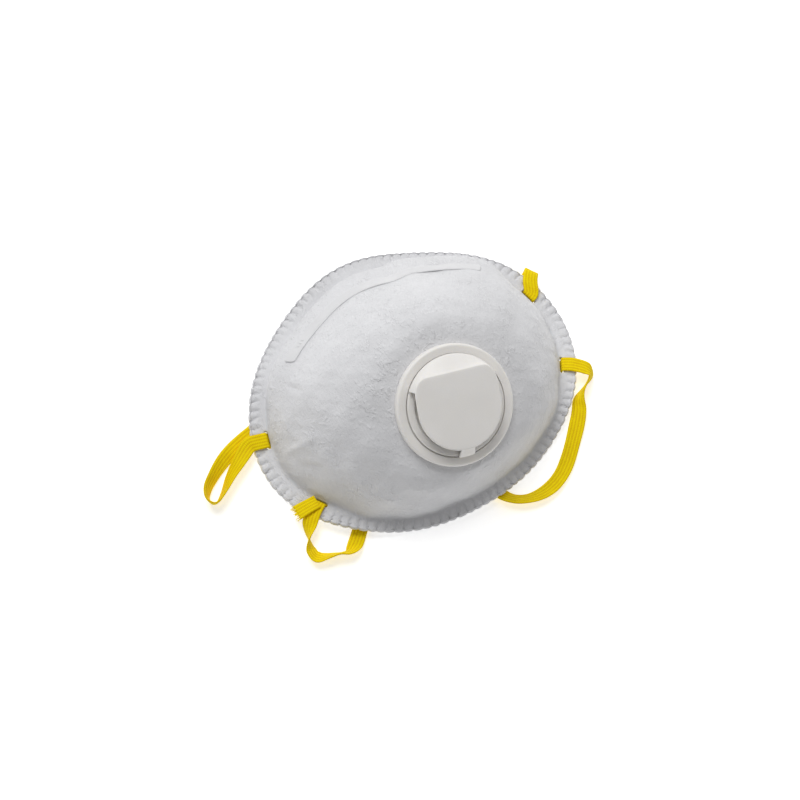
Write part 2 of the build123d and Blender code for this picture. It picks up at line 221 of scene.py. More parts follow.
# %% Mesh helper
def grid_faces(rows, columns, closed):
    """Corner indices of the quads of a grid whose columns form a ring, as an (n, 4) array."""
    index = np.arange(rows * columns).reshape(rows, columns)
    if closed:
        index = np.vstack([index, index[:1]])
    right = np.roll(index, -1, axis=1)
    return np.stack([index[:-1], right[:-1], right[1:], index[1:]], -1).reshape(-1, 4)


def volume_sign(points, quads):
    """Sign of the sum of the corner tetrahedra under each quad's two triangles."""
    a, b, c, d = (points[quads[:, i]] for i in range(4))
    return np.sign(np.einsum("ij,ij->", a, np.cross(b, c)) + np.einsum("ij,ij->", a, np.cross(c, d)))


def grid_object(name, points, closed=False, capped=False, lay=None, quads=None):
    """Mesh object from points (rows, ring, 3) in mm; lay is a (rows, ring, 2) array for its UV map."""
    rows, ring = points.shape[:2]
    flat = points.reshape(-1, 3)
    if quads is None:
        quads = grid_faces(rows, ring, closed)
    inside_out = volume_sign(flat - flat.mean(0), quads) < 0
    if inside_out:
        quads = quads[:, ::-1]
    loops = [quads.ravel()]
    sizes = [np.full(len(quads), 4)]
    if capped:
        first, last = np.arange(ring), np.arange(ring) + (rows - 1) * ring
        loops += [first, last[::-1]] if inside_out else [first[::-1], last]
        sizes += [np.array([ring, ring])]
    loops, sizes = np.concatenate(loops), np.concatenate(sizes)
    mesh = bpy.data.meshes.new(name)
    mesh.vertices.add(len(flat))
    mesh.vertices.foreach_set("co", (flat * MM).astype(np.float32).ravel())
    mesh.loops.add(len(loops))
    mesh.loops.foreach_set("vertex_index", loops.astype(np.int32))
    mesh.polygons.add(len(sizes))
    mesh.polygons.foreach_set("loop_start", (np.cumsum(sizes) - sizes).astype(np.int32))
    mesh.polygons.foreach_set("use_smooth", np.ones(len(sizes), bool))
    if lay is not None:
        uv = mesh.uv_layers.new(name="lay")
        uv.data.foreach_set("uv", lay.reshape(-1, 2)[loops].astype(np.float32).ravel())
    mesh.update(calc_edges=True)
    mesh.validate()
    print(name, len(mesh.vertices), "points", len(mesh.polygons), "faces")
    return new_object(name, mesh)


# %% [markdown]
# ## The two elastic bands
# Each band is one length of flat knitted elastic. It comes up through a slot in the flange, lies over the
# rim, twists, and rests in loose curves on the table, with the long middle stretch under the cup. Its line
# is a NURBS curve through listed points. Every point also says how far the band leans there: 0 lies
# flat, 90 stands on its edge, 180 lies on its other face.

# %% Slots and routes
SLOT_INSET = 6.2
UPPER_SLOT, LOWER_SLOT = np.radians(7.2), np.radians(-23.1)
BAND_WIDTH, BAND_THICK = 6.0, 0.8
SLOT_STEP = np.radians(2.0)

# x, y, z in metres, lean in degrees
UPPER_ROUTE = (
    (-0.0728, 0.0058, 0.0044, 15), (-0.0785, 0.0026, 0.0034, 42), (-0.0842, -0.0020, 0.0031, 66),
    (-0.0890, -0.0050, 0.0035, 78), (-0.0912, -0.0014, 0.0035, 80), (-0.0890, 0.0024, 0.0034, 64),
    (-0.0852, 0.0052, 0.0031, 52), (-0.0798, 0.0086, 0.0025, 38), (-0.0740, 0.0112, 0.0017, 20),
    (-0.0685, 0.0128, 0.0009, 5), (-0.0600, 0.0145, 0.0006, 0), (-0.0460, 0.0215, 0.0006, 0),
    (-0.0280, 0.0340, 0.0018, 15), (-0.0120, 0.0270, 0.0037, 60), (-0.0080, 0.0120, 0.0037, 120),
    (0.0060, 0.0040, 0.0017, 165),
    (0.0200, 0.0130, 0.0006, 180), (0.0260, 0.0280, 0.0006, 180), (0.0400, 0.0300, 0.0006, 180),
    (0.0490, 0.0240, 0.0006, 180), (0.0545, 0.0160, 0.0007, 180), (0.0600, 0.0126, 0.0012, 180),
    (0.0650, 0.0148, 0.0022, 180), (0.0672, 0.0164, 0.0040, 180), (0.0658, 0.0152, 0.0060, 0),
    (0.0632, 0.0122, 0.0060, 0))
LOWER_ROUTE = (
    (-0.0622, -0.0285, 0.0049, 12), (-0.0643, -0.0312, 0.0036, 55), (-0.0657, -0.0340, 0.0028, 95),
    (-0.0672, -0.0378, 0.0023, 138), (-0.0666, -0.0414, 0.0020, 150), (-0.0622, -0.0430, 0.0025, 120),
    (-0.0582, -0.0443, 0.0029, 104), (-0.0548, -0.0460, 0.0025, 122), (-0.0514, -0.0440, 0.0011, 168),
    (-0.0470, -0.0400, 0.0006, 180),
    (-0.0400, -0.0335, 0.0006, 180), (-0.0370, -0.0200, 0.0006, 180), (-0.0270, -0.0090, 0.0006, 180),
    (-0.0120, -0.0070, 0.0006, 180), (0.0000, -0.0150, 0.0006, 180), (0.0130, -0.0190, 0.0006, 180),
    (0.0270, -0.0120, 0.0006, 180), (0.0380, -0.0170, 0.0006, 180), (0.0370, -0.0310, 0.0006, 180),
    (0.0240, -0.0360, 0.0006, 180), (0.0110, -0.0380, 0.0006, 180), (0.0055, -0.0470, 0.0006, 180),
    (0.0062, -0.0540, 0.0011, 162), (0.0092, -0.0592, 0.0020, 142), (0.0140, -0.0622, 0.0023, 138),
    (0.0198, -0.0634, 0.0020, 148), (0.0260, -0.0628, 0.0015, 158), (0.0320, -0.0604, 0.0012, 166),
    (0.0372, -0.0567, 0.0010, 172), (0.0424, -0.0520, 0.0010, 172), (0.0478, -0.0468, 0.0013, 168),
    (0.0518, -0.0424, 0.0019, 156), (0.0536, -0.0386, 0.0026, 132), (0.0569, -0.0362, 0.0033, 102),
    (0.0606, -0.0346, 0.0036, 88), (0.0636, -0.0328, 0.0041, 64), (0.0632, -0.0302, 0.0056, 12))


def slot_axes(angle):
    """Origin on the flange's top at a slot, and its outward, along-the-rim and upward directions."""
    origin = flange_point(angle, SLOT_INSET, 0.0)
    along = unit(flange_point(angle + SLOT_STEP, SLOT_INSET, 0.0)
                 - flange_point(angle - SLOT_STEP, SLOT_INSET, 0.0))
    level = unit(np.cross(along, EZ)) * SLOT_INSET
    edge = origin + level
    rise = rim_lift(np.arctan2(edge[1], edge[0])) - rim_lift(angle)
    across = unit(level + EZ * rise)
    return origin, across, along, np.cross(across, along)


# The band inside and over its slot: how far outwards of the slot's middle, and how high, in mm.
THREADED = ((-3.6, -3.0), (-1.4, -3.0), (-0.1, -2.4), (0.0, -0.8), (0.1, 0.75), (1.8, 0.85))
OVER_RIM = ((4.6, 0.8), (7.2, 0.7))


def band_points(first_slot, last_slot, route, over_first, over_last):
    """Control points in mm and width directions of a band, from one slot to the other."""
    ends = []
    for angle, places in ((first_slot, THREADED + over_first), (last_slot, THREADED + over_last)):
        origin, across, along, rise = slot_axes(angle)
        out, high = np.array(places).T[..., None]
        ends.append((origin + across * out + rise * high, np.tile(along, (len(places), 1))))
    route = np.array(route)
    middle = route[:, :3] / MM
    line = np.vstack([ends[0][0], middle, ends[1][0][::-1]])
    first = len(ends[0][0])
    ahead = line[first + 1:][:len(middle)] - line[first - 1:][:len(middle)]
    ahead = unit(ahead * np.array([1, 1, 0]))
    side = np.cross(EZ, ahead)
    lean = np.radians(route[:, 3:])
    width = np.vstack([ends[0][1], side * np.cos(lean) + EZ * np.sin(lean), -ends[1][1][::-1]])
    return line, width


def nurbs_line(name, line, resolution=14):
    """Points along a NURBS curve of order 3 that starts and ends at the line's own ends, in mm."""
    curve = bpy.data.curves.new(name, "CURVE")
    curve.dimensions = "3D"
    curve.resolution_u = resolution
    spline = curve.splines.new("NURBS")
    spline.points.add(len(line) - 1)
    spline.points.foreach_set("co", np.hstack([line * MM, np.ones((len(line), 1))]).ravel())
    spline.order_u = 3
    spline.use_endpoint_u = True
    holder = new_object(name, curve)
    mesh = bpy.data.meshes.new_from_object(holder)
    points = np.empty(len(mesh.vertices) * 3)
    mesh.vertices.foreach_get("co", points)
    bpy.data.objects.remove(holder)
    bpy.data.meshes.remove(mesh)
    bpy.data.curves.remove(curve)
    return points.reshape(-1, 3) / MM


# %% [markdown]
# A flat band is a profile carried along its line. The profile is a rounded strip with lengthwise ridges,
# one for each rubber cord in the knit. The width directions are spread over the curve's own parameter, and
# made square to the line at every step, so a twist is shared out as it is in real elastic.

# %% Carry a flat profile along a line
BAND_RIDGES = 5
RIDGE_DEPTH = 0.03
TWIST_EASING = 10
BAND_WAVES = ((0.02, 5.1, 0), (0.015, 2.3, 1))


def spread_along(values, count):
    """Values at a NURBS curve's control points, at count even steps of its parameter."""
    last = len(values) - 2.0
    knots = np.concatenate([[0.0], np.arange(len(values) - 2) + 0.5, [last]])
    steps = np.linspace(0, last, count)
    return np.stack([np.interp(steps, knots, values[:, k]) for k in range(values.shape[1])], -1)


def eased(values, passes):
    """Each inner row is averaged with its neighbours a few times."""
    values = values.copy()
    for _ in range(passes):
        values[1:-1] = values[1:-1] / 2 + (values[:-2] + values[2:]) / 4
    return values


def both_faces(across, high):
    """A closed section from its upper half: the half, then its mirror image on the way back."""
    top = np.stack([across, high], -1)
    return np.vstack([top, top[-2:0:-1] * np.array([1, -1])])


def uneven(walked, waves):
    """Breadth of a soft strip: 1 + the sum of size x sine of (length / spacing + shift)."""
    return 1 + sum(size * np.sin(walked / spacing + shift) for size, spacing, shift in waves)


def lay_map(across, along):
    """How the strip lies in its own UV map: place across it and length along it, in mm."""
    return np.stack(np.broadcast_arrays(across, along), -1)


def rings_along(line, wide, face, u, v):
    """Rings of points: line + width direction x u + face direction x v."""
    return line[:, None] + wide[:, None] * u[..., None] + face[:, None] * v[..., None]


def band_profile(steps=37):
    """Flat section: half thickness x root of (1 - share of half width to the 6th), with ridges."""
    x = np.sin(np.linspace(-np.pi / 2, np.pi / 2, steps))
    ridges = 1 - RIDGE_DEPTH / (BAND_THICK / 2) * np.cos(np.pi * (x + 1) * BAND_RIDGES)
    return both_faces(x * BAND_WIDTH / 2, BAND_THICK / 2 * np.sqrt(1 - x ** 6) * ridges)


def carried(line, width_ways, profile, breadth):
    """Rings of the profile along a line, with its width made square to the line and x breadth."""
    ahead = unit(np.gradient(line, axis=0))
    wide = unit(width_ways - ahead * np.sum(width_ways * ahead, 1, keepdims=True))
    u = profile[:, 0] * breadth[:, None]
    return rings_along(line, wide, np.cross(ahead, wide), u, profile[None, :, 1])


def make_band(name, first_slot, last_slot, route, over_first, over_last):
    """One elastic band: its slightly uneven ribbon mesh, and the line that it follows."""
    control, ways = band_points(first_slot, last_slot, route, over_first, over_last)
    line = nurbs_line(name + "_line", control)
    ways = eased(spread_along(ways, len(line)), TWIST_EASING)
    walked = np.concatenate([[0], np.cumsum(np.linalg.norm(np.diff(line, axis=0), axis=1))])
    profile = band_profile()
    rings = carried(line, ways, profile, uneven(walked, BAND_WAVES))
    piece = grid_object(name, rings, capped=True, lay=lay_map(profile[None, :, 0], walked[:, None]))
    print(name, "length", round(walked[-1], 1), "mm")
    return piece, line


SLOTS = {"upper_right": UPPER_SLOT, "upper_left": np.pi - UPPER_SLOT,
         "lower_right": LOWER_SLOT, "lower_left": np.pi - LOWER_SLOT}
upper_band, upper_line = make_band(
    "elastic_upper", SLOTS["upper_left"], SLOTS["upper_right"], UPPER_ROUTE, OVER_RIM, ())
lower_band, lower_line = make_band(
    "elastic_lower", SLOTS["lower_left"], SLOTS["lower_right"], LOWER_ROUTE, OVER_RIM[:1], OVER_RIM[:1])

# %% [markdown]
# At the lower left slot the cut end of the band was left standing out. Its last millimetres have frayed:
# the knit opens into loose yellow threads. The end is the same ribbon on a short line, and the threads are
# thin tubes that fan out from its edge, all worked out in one go.

# %% Frayed tail of the lower band
TAIL_LENGTH, TAIL_START, TAIL_TURN, TAIL_LIFT = 8.6, 0.6, np.radians(-33.0), np.radians(6.0)
TAIL_HEIGHT, TAIL_DROOP, TAIL_BREADTH, TAIL_SPREAD = 1.75, 0.9, 0.93, 0.10
THREAD_COUNT, THREAD_RADIUS, THREAD_LENGTH = 26, 0.16, 2.0
THREAD_RINGS, THREAD_SIDES = 7, 6
random = np.random.default_rng(7)


def make_tail(angle):
    """The cut end: start + direction x length, rising a little, with a slight droop at its end."""
    origin, across, along, rise = slot_axes(angle)
    ahead = across * np.cos(TAIL_TURN) + along * np.sin(TAIL_TURN)
    wide = np.cross(rise, ahead)
    share = np.linspace(0, 1, 40)[:, None]
    climb = TAIL_HEIGHT + TAIL_LENGTH * np.tan(TAIL_LIFT) * share - TAIL_DROOP * share ** 3
    line = origin + ahead * (TAIL_START + TAIL_LENGTH * share) + rise * climb
    profile = band_profile()
    breadth = TAIL_BREADTH + TAIL_SPREAD * share[:, 0] ** 2
    rings = carried(line, np.tile(wide, (len(line), 1)), profile, breadth)
    lay = lay_map(profile[None, :, 0], share * TAIL_LENGTH)
    return grid_object("elastic_tail", rings, capped=True, lay=lay), line[-1], ahead, wide, rise


def make_threads(root, ahead, wide, rise):
    """Thin bent tubes: root + ahead x t + spread x t squared, six-sided and tapered."""
    place = np.linspace(-0.48, 0.48, THREAD_COUNT) * BAND_WIDTH
    high = random.uniform(-0.25, 0.25, THREAD_COUNT)
    fan = place * 0.09 + random.normal(0, 0.35, THREAD_COUNT)
    droop = random.normal(-0.15, 0.45, THREAD_COUNT)
    long = THREAD_LENGTH * random.uniform(0.35, 1.0, THREAD_COUNT)
    t = np.linspace(-0.3, 1, THREAD_RINGS)[:, None]
    centre = (root + ahead * (t * long)[..., None] + wide * (place + fan * t * abs(t))[..., None]
              + rise * (high + droop * t * abs(t))[..., None])
    turn = np.arange(THREAD_SIDES) * 2 * np.pi / THREAD_SIDES
    radius = THREAD_RADIUS * (1 - 0.5 * np.clip(t, 0, 1))[..., None, None]
    ring = wide * np.cos(turn)[:, None] + rise * np.sin(turn)[:, None]
    tubes = centre[:, :, None] + ring * radius
    points = tubes.transpose(1, 0, 2, 3).reshape(THREAD_COUNT * THREAD_RINGS, THREAD_SIDES, 3)
    starts = (np.arange(THREAD_COUNT) * THREAD_RINGS * THREAD_SIDES)[:, None, None]
    end = (THREAD_RINGS - 1) * THREAD_SIDES
    caps = np.array([[0, 1, 2, 3], [0, 3, 4, 5], [end + 3, end + 2, end + 1, end],
                     [end + 5, end + 4, end + 3, end]])
    walls, caps = ((quads + starts).reshape(-1, 4)
                   for quads in (grid_faces(THREAD_RINGS, THREAD_SIDES, False), caps))
    lay = np.zeros((*points.shape[:2], 2))
    return grid_object("elastic_threads", points, lay=lay, quads=np.vstack([walls, caps]))


tail, tail_end, tail_ahead, tail_wide, tail_rise = make_tail(SLOTS["lower_left"])
threads = make_threads(tail_end, tail_ahead, tail_wide, tail_rise)

# %% [markdown]
# ## The cup
# The cup is three webs pressed together: an outer needle felt, a filter web and a stiffer inner web that
# faces the wearer. Each web is one closed ring of profile at every angle round the rim, so it has a real
# thickness with no separate solidify step. Columns are bunched at the grooves of the weld, where the
# surface turns quickest. The ultrasonic weld presses about a hundred bars across the edge: each bar is
# a small puff, and between two bars there is a narrow groove.

# %% Columns round the rim
WELD_BARS = 108
BAR_STEPS = np.array([0.0, 0.05, 0.13, 0.27, 0.5, 0.73, 0.87, 0.95])
WELD_WIDTH = 4.7
GROOVE_TOP, GROOVE_UNDER, GROOVE_EDGE = 0.95, 0.35, 0.55
PUFF_POWER = 0.6


def column_angles(bars, steps):
    """Angles and bar phases of the columns: even steps of length along the rim, from bar to bar."""
    fine = np.linspace(0, 2 * np.pi, 7201)
    edge = flange_point(fine, 0.0, 0.0)
    walked = np.concatenate([[0], np.cumsum(np.linalg.norm(np.diff(edge, axis=0), axis=1))])
    phase = (np.arange(bars)[:, None] + steps).ravel()
    return np.interp(phase / bars * walked[-1], walked, fine), phase


COLUMNS, PHASES = column_angles(WELD_BARS, BAR_STEPS)
bar_random = np.random.default_rng(21)
BAR_HEIGHTS = np.clip(bar_random.normal(1.0, 0.16, WELD_BARS), 0.55, 1.3)
BAR_SLIDES = bar_random.normal(0, 0.16, WELD_BARS)


def weld_groove(phase, inset):
    """Depth share of the weld's grooves: 1 - |sin(pi x phase)| to a power, faded out past the weld."""
    groove_number = np.round(phase).astype(int) % WELD_BARS
    slant = BAR_SLIDES[groove_number] * (inset - 2.0) / 4
    puff = np.abs(np.sin(np.pi * (phase + slant))) ** PUFF_POWER
    fade = 1 - smooth_step(inset, WELD_WIDTH - 1.0, WELD_WIDTH + 0.3)
    return (1 - puff) * BAR_HEIGHTS[groove_number] * fade


# %% [markdown]
# Felt is never quite even. Slow waves give the wall its soft dents, and a few pressed folds run where the
# cup was handled and where the bands pull on it. A fold is a ridge or a valley along a short line: its
# depth x a bell across the line x a soft start and end along it.

# %% Dents and folds of the wall
# x, y where a fold starts, x, y where it ends, half width, height (negative for a crease), in mm
FOLDS = (
    (-45.5, 27.0, -42.6, 10.5, 0.8, -0.55), (-43.6, 27.0, -40.8, 10.5, 1.5, 0.30),
    (-59.0, -1.0, -45.0, -7.5, 1.3, 0.55), (-57.0, -6.0, -49.5, -17.5, 1.0, -0.60),
    (-58.0, -3.5, -47.5, -12.5, 1.6, -0.22), (-58.6, 4.0, -50.0, 9.0, 1.4, 0.25),
    (-37.0, -1.5, -37.8, -7.0, 0.9, -0.22), (-37.5, -8.0, -32.5, -6.0, 0.9, 0.20),
    (-13.0, -0.5, -3.0, -2.8, 1.2, 0.18), (-24.5, 1.5, -20.5, -2.5, 0.8, 0.18),
    (-54.5, -27.0, -46.0, -34.0, 1.4, -0.25), (-50.0, -27.0, -40.0, -30.5, 1.2, 0.20),
    (54.5, -22.0, 46.5, -21.0, 1.2, -0.25), (55.0, -26.0, 47.0, -29.0, 1.2, 0.22),
    (57.0, 9.0, 50.0, 6.0, 1.1, 0.25), (22.0, -31.0, 24.5, -26.0, 0.8, 0.25))
WAVES = ((0.31, 0.12, 0.23, 0.4, 0.16), (-0.13, 0.37, 0.11, 1.9, 0.14), (0.45, -0.36, 0.31, 3.1, 0.09),
         (0.21, 0.55, -0.42, 5.2, 0.08), (-0.83, 0.41, 0.62, 2.6, 0.045), (0.72, 0.95, 0.38, 0.9, 0.04))


def wall_relief(points):
    """Height of the felt above its smooth shape: sum of slow sine waves and of the folds."""
    x, y, z = points[..., 0], points[..., 1], points[..., 2]
    high = sum(size * np.sin(a * x + b * y + c * z + shift) for a, b, c, shift, size in WAVES)
    for x0, y0, x1, y1, wide, size in FOLDS:
        long = np.hypot(x1 - x0, y1 - y0)
        along = ((x - x0) * (x1 - x0) + (y - y0) * (y1 - y0)) / long ** 2
        off = ((x - x0) * (y1 - y0) - (y - y0) * (x1 - x0)) / long
        off = off - 0.06 * long * np.sin(np.pi * np.clip(along, 0, 1))
        ends = np.sin(np.pi * np.clip(along, 0, 1)) ** 0.8
        high = high + size * np.exp(-(off / wide) ** 2) * ends
    return high


# %% [markdown]
# Where the nose clip is glued on, the stiff strip has pressed the felt into a low shelf. The shelf is a
# bell across the wall, highest a little below the clip, so that the clip's seat leans back towards the
# rim. It fades out beyond the clip's ends.

# %% Seat of the nose clip
SEAT_HEIGHT, SEAT_PLACE, SEAT_SPREAD = 3.0, 0.10, 0.13
SEAT_ANGLES, SEAT_FADE = (12.0, 168.0), 20.0


def wall_normal(angle, share, depth, point=wall_point):
    """Outward normal of the wall: direction along the rim x direction up the wall."""
    step, turn = 0.01, np.radians(1.0)
    up = point(angle, share + step, depth) - point(angle, share - step, depth)
    along = point(angle + turn, share, depth) - point(angle - turn, share, depth)
    return unit(np.cross(along, up))


def seat_height(angle, share):
    """Height x bell of the share of the wall x a soft window over the angles round the nose."""
    turn = np.degrees(np.mod(angle + np.pi / 2, 2 * np.pi)) - 90
    near = window(turn, *SEAT_ANGLES, SEAT_FADE)
    return SEAT_HEIGHT * near * np.exp(-((share - SEAT_PLACE) / SEAT_SPREAD) ** 2)


def seated_point(angle, share, depth):
    """A point of the wall with the seat's height added along its normal."""
    lift = seat_height(angle, share)[..., None]
    return wall_point(angle, share, depth) + wall_normal(angle, share, depth) * lift


# %% [markdown]
# A web's ring starts at the hole for the valve, runs down the outside of the wall, over the flange, round
# its edge and back up the inside. The sharp corner where wall meets flange is eased over a few rows, as
# felt can't be folded that tight. The outer web is rolled over the edge and closes the weld; the two inner
# webs end just inside it.

# %% Build the webs
HOLE_RADIUS = 16.2
EDGE_ROUND = 0.9
EDGE_TURN = 1.7
BEYOND_FOOT = -0.3


def face_rows(angle, depth, edge_inset, wall_rows, flange_insets):
    """Rows of one face of a web, from the valve's hole out to its edge."""
    radii = np.linspace(HOLE_RADIUS, PAD_RADIUS, 5)[:, None]
    shares = np.linspace(1, 0, wall_rows)[1:, None]
    insets = flange_insets[flange_insets > edge_inset][1:, None]
    insets = np.vstack([insets, [[edge_inset]]])
    insets = edge_inset + (insets - edge_inset) * (foot_inset(angle) - edge_inset) / (
        FLANGE_WIDTH - edge_inset)
    return np.concatenate([pad_point(angle, radii, depth), wall_point(angle, shares, depth),
                           flange_point(angle, insets, depth)])


def eased_rows(points, start, end, passes):
    """Rows between start and end drawn towards the middle of their neighbours."""
    points = points.copy()
    pull = np.zeros(len(points))
    pull[start:end] = 0.5
    for _ in range(passes):
        points[1:-1] += pull[1:-1, None, None] * ((points[:-2] + points[2:]) / 2 - points[1:-1])
    return points


def grid_normals(points):
    """Unit normals of a grid: row direction x column direction."""
    down = np.gradient(points, axis=0)
    around = np.roll(points, -1, axis=1) - np.roll(points, 1, axis=1)
    return unit(np.cross(down, around))


def make_web(name, top, thick, wall_rows, flange_step, rolled, ribbed_under):
    """One web of the cup as a closed ring of rows: outer face, edge, inner face."""
    every = 1 if rolled or ribbed_under else 4
    angle, phase = COLUMNS[None, ::every], PHASES[None, ::every]
    edge_inset = EDGE_ROUND if rolled else EDGE_TURN + 0.1
    flange_insets = np.arange(FLANGE_WIDTH, 0, -flange_step)
    outer = face_rows(angle, top, edge_inset, wall_rows, flange_insets)
    foot = 4 + wall_rows
    outer = eased_rows(outer, foot - 3, foot + 2, 5)
    outer = eased_rows(outer, 2, 9, 8)
    normal = grid_normals(outer)
    normal *= np.sign(normal[2, 0] @ VALVE_AXIS)
    if rolled:
        run = np.linspace(1, 0, len(outer) - foot)[:, None]
        inset = np.vstack([np.full((foot, angle.shape[1]), 99.0),
                           edge_inset + (foot_inset(angle) - edge_inset) * run])
        relief = wall_relief(outer) * smooth_step(np.arange(len(outer)), 3, 10)[:, None]
        relief *= (1 - smooth_step(np.arange(len(outer)), foot - 4, foot + 3))[:, None]
        share = np.concatenate([np.ones(5), np.linspace(1, 0, wall_rows)[1:],
                                np.full(len(outer) - foot, BEYOND_FOOT)])
        seat = seat_height(angle, share[:, None])
        relief = relief * (1 - 0.8 * smooth_step(seat, 0.0, 0.8)) + seat
        groove = weld_groove(phase, inset)
        outer = outer + normal * (relief - GROOVE_TOP * groove)[..., None]
    parts = [outer]
    if not ribbed_under:
        coarse = np.arange(FLANGE_WIDTH, 0, -1.2)
        lower_face = face_rows(angle, top + thick, EDGE_TURN, max(wall_rows // 3, 8), coarse)
    else:
        lower_face = face_rows(angle, top + thick, EDGE_TURN + 0.1, wall_rows // 2, flange_insets)
        start = 4 + wall_rows // 2
        lower_face = eased_rows(lower_face, start - 3, start + 3, 8)
        insets = np.linspace(FLANGE_WIDTH, EDGE_TURN + 0.1, len(lower_face) - start)
        groove = weld_groove(phase, insets[:, None])
        lower_face[start:] += EZ * (GROOVE_UNDER * groove)[..., None]
    if rolled:
        swing = np.radians(np.array([65, 40, 15, -10, -35, -60, -90]))[:, None]
        reach = EDGE_ROUND - EDGE_ROUND * np.cos(swing)
        edge = flange_point(angle, reach, STACK / 2 * (1 - np.sin(swing)))
        groove = weld_groove(phase, reach)
        pull_in = -outward(angle) * (GROOVE_EDGE * groove * np.cos(swing))[..., None]
        press = -EZ * (groove * np.sin(swing) * np.where(swing > 0, GROOVE_TOP, GROOVE_UNDER))[..., None]
        parts.append(edge + pull_in + press)
        parts.append(flange_point(angle, EDGE_TURN, STACK)
                     + EZ * (GROOVE_UNDER * weld_groove(phase, np.array([[EDGE_TURN]])))[..., None])
    parts.append(lower_face[::-1])
    return grid_object(name, np.concatenate(parts).transpose(1, 0, 2), closed=True)


outer_web = make_web("felt_cup", 0.0, 0.5, 44, 0.55, True, False)
filter_web = make_web("filter_web", 0.6, 0.7, 24, 1.2, False, False)
inner_web = make_web("inner_web", 1.4, 1.0, 30, 0.8, False, True)

# %% [markdown]
# The slots are punched through all three webs with a flat die. Here the die is a thin rounded block at each
# slot, and an exact boolean takes it out of each web once, so nothing live is left on the mesh.

# %% Punch the slots
SLOT_LENGTH, SLOT_WIDTH = 7.2, 1.8


def make_dies():
    """Four flat blocks, one mesh each: slot's origin + across x u + along x v + rise x w."""
    ring = np.radians(np.arange(0, 360, 30) + 15)
    u = SLOT_WIDTH / 2 * squared_off(np.cos(ring), 0.5)
    v = SLOT_LENGTH / 2 * squared_off(np.sin(ring), 0.35)
    blocks = []
    for angle in SLOTS.values():
        origin, across, along, rise = slot_axes(angle)
        flat = origin + across * u[:, None] + along * v[:, None]
        blocks.append(np.stack([flat - rise * 5, flat + rise * 3]))
    return [grid_object(f"die_{i}", block, capped=True) for i, block in enumerate(blocks)]


def punch(piece, dies):
    """Take each die out of the piece's mesh, with the boolean applied."""
    for die in dies:
        cut = piece.modifiers.new("punch", "BOOLEAN")
        cut.operation = "DIFFERENCE"
        cut.solver = "EXACT"
        cut.object = die
    graph = bpy.context.evaluated_depsgraph_get()
    mesh = bpy.data.meshes.new_from_object(piece.evaluated_get(graph))
    piece.modifiers.clear()
    piece.data = mesh
    print(piece.name, "punched:", len(mesh.vertices), "points")


dies = make_dies()
for web in (outer_web, filter_web, inner_web):
    punch(web, dies)
for die in dies:
    bpy.data.objects.remove(die)

# %% [markdown]
# ## Nose clip and nose foam
# The clip is a soft flat metal strip in a white coat, glued across the nose and bent to the face by hand.
# The foam strip lies inside, opposite it. Both follow a line at a given share of the wall, lifted off it
# along the wall's normal.

# %% Strips on the nose
CLIP_FIRST, CLIP_LAST = np.radians(31.0), np.radians(144.0)
CLIP_PLACE, CLIP_RISE, CLIP_WIDTH, CLIP_THICK = 0.210, 0.055, 5.6, 0.7
RISE_SPAN = (0.25, 0.72)
MARK_PLACES, MARK_DEPTH = (6.3, 7.7, 9.1), 0.38
FOAM_FIRST, FOAM_LAST, FOAM_PLACE = np.radians(38.0), np.radians(142.0), 0.22
FOAM_WIDTH, FOAM_THICK = 11.0, 3.5
FOAM_WAVES = ((0.02, 3.1, 0), (0.012, 1.3, 2))


def rounded_ends(share, long, corner):
    """Width share of a strip whose ends are cut square with rounded corners."""
    near = np.clip(np.minimum(share, 1 - share) * long / corner, 0, 1)
    return 1 - corner / 2.6 * (1 - np.sqrt(1 - (1 - near) ** 2))


def nose_strip(name, first, last, place, rise, lift, width, thick, steps, bulge, point):
    """A strip along the wall: its line, its width and face directions, its profile and its length."""
    share = np.linspace(0, 1, steps)
    angle = first + (last - first) * share
    spot = place + rise * (1 - smooth_step(share, *RISE_SPAN))
    normal = wall_normal(angle, spot, lift[0], point)
    line = point(angle, spot, lift[0]) + normal * lift[1]
    ahead = unit(np.gradient(line, axis=0))
    wide = unit(np.cross(normal, ahead))
    long = np.sum(np.linalg.norm(np.diff(line, axis=0), axis=1))
    x = np.sin(np.linspace(-np.pi / 2, np.pi / 2, 25))
    profile = both_faces(x * width / 2, thick / 2 * np.sqrt(1 - np.abs(x) ** bulge))
    narrow = rounded_ends(share, long, min(width, 5) / 5)
    u, v = profile[:, 0] * narrow[:, None], np.tile(profile[:, 1], (steps, 1))
    print(name, "length", round(long, 1), "mm")
    return line, wide, np.cross(ahead, wide), u, v, share * long


def make_clip():
    """The clip's strip, with three short bars pressed into its top near the left end."""
    line, wide, face, u, v, walked = nose_strip(
        "clip", CLIP_FIRST, CLIP_LAST, CLIP_PLACE, CLIP_RISE, (0.0, CLIP_THICK / 2 - 0.1),
        CLIP_WIDTH, CLIP_THICK, 420, 10, seated_point)
    mark = np.zeros_like(v)
    for middle in MARK_PLACES:
        bar = 1 - smooth_step(np.abs(walked[-1] - walked - middle), 0.30, 0.60)[:, None]
        mark += bar * (1 - smooth_step(np.abs(u - 0.1), 0.6, 1.0))
    outer = np.sign(np.sum(face[0] * wall_normal(CLIP_FIRST, CLIP_PLACE, 0.0)))
    v = v - outer * mark * MARK_DEPTH * (v * outer > 0)
    rings = rings_along(line, wide, face, u, v)
    return grid_object("nose_clip_strip", rings, capped=True, lay=lay_map(u, walked[:, None]))


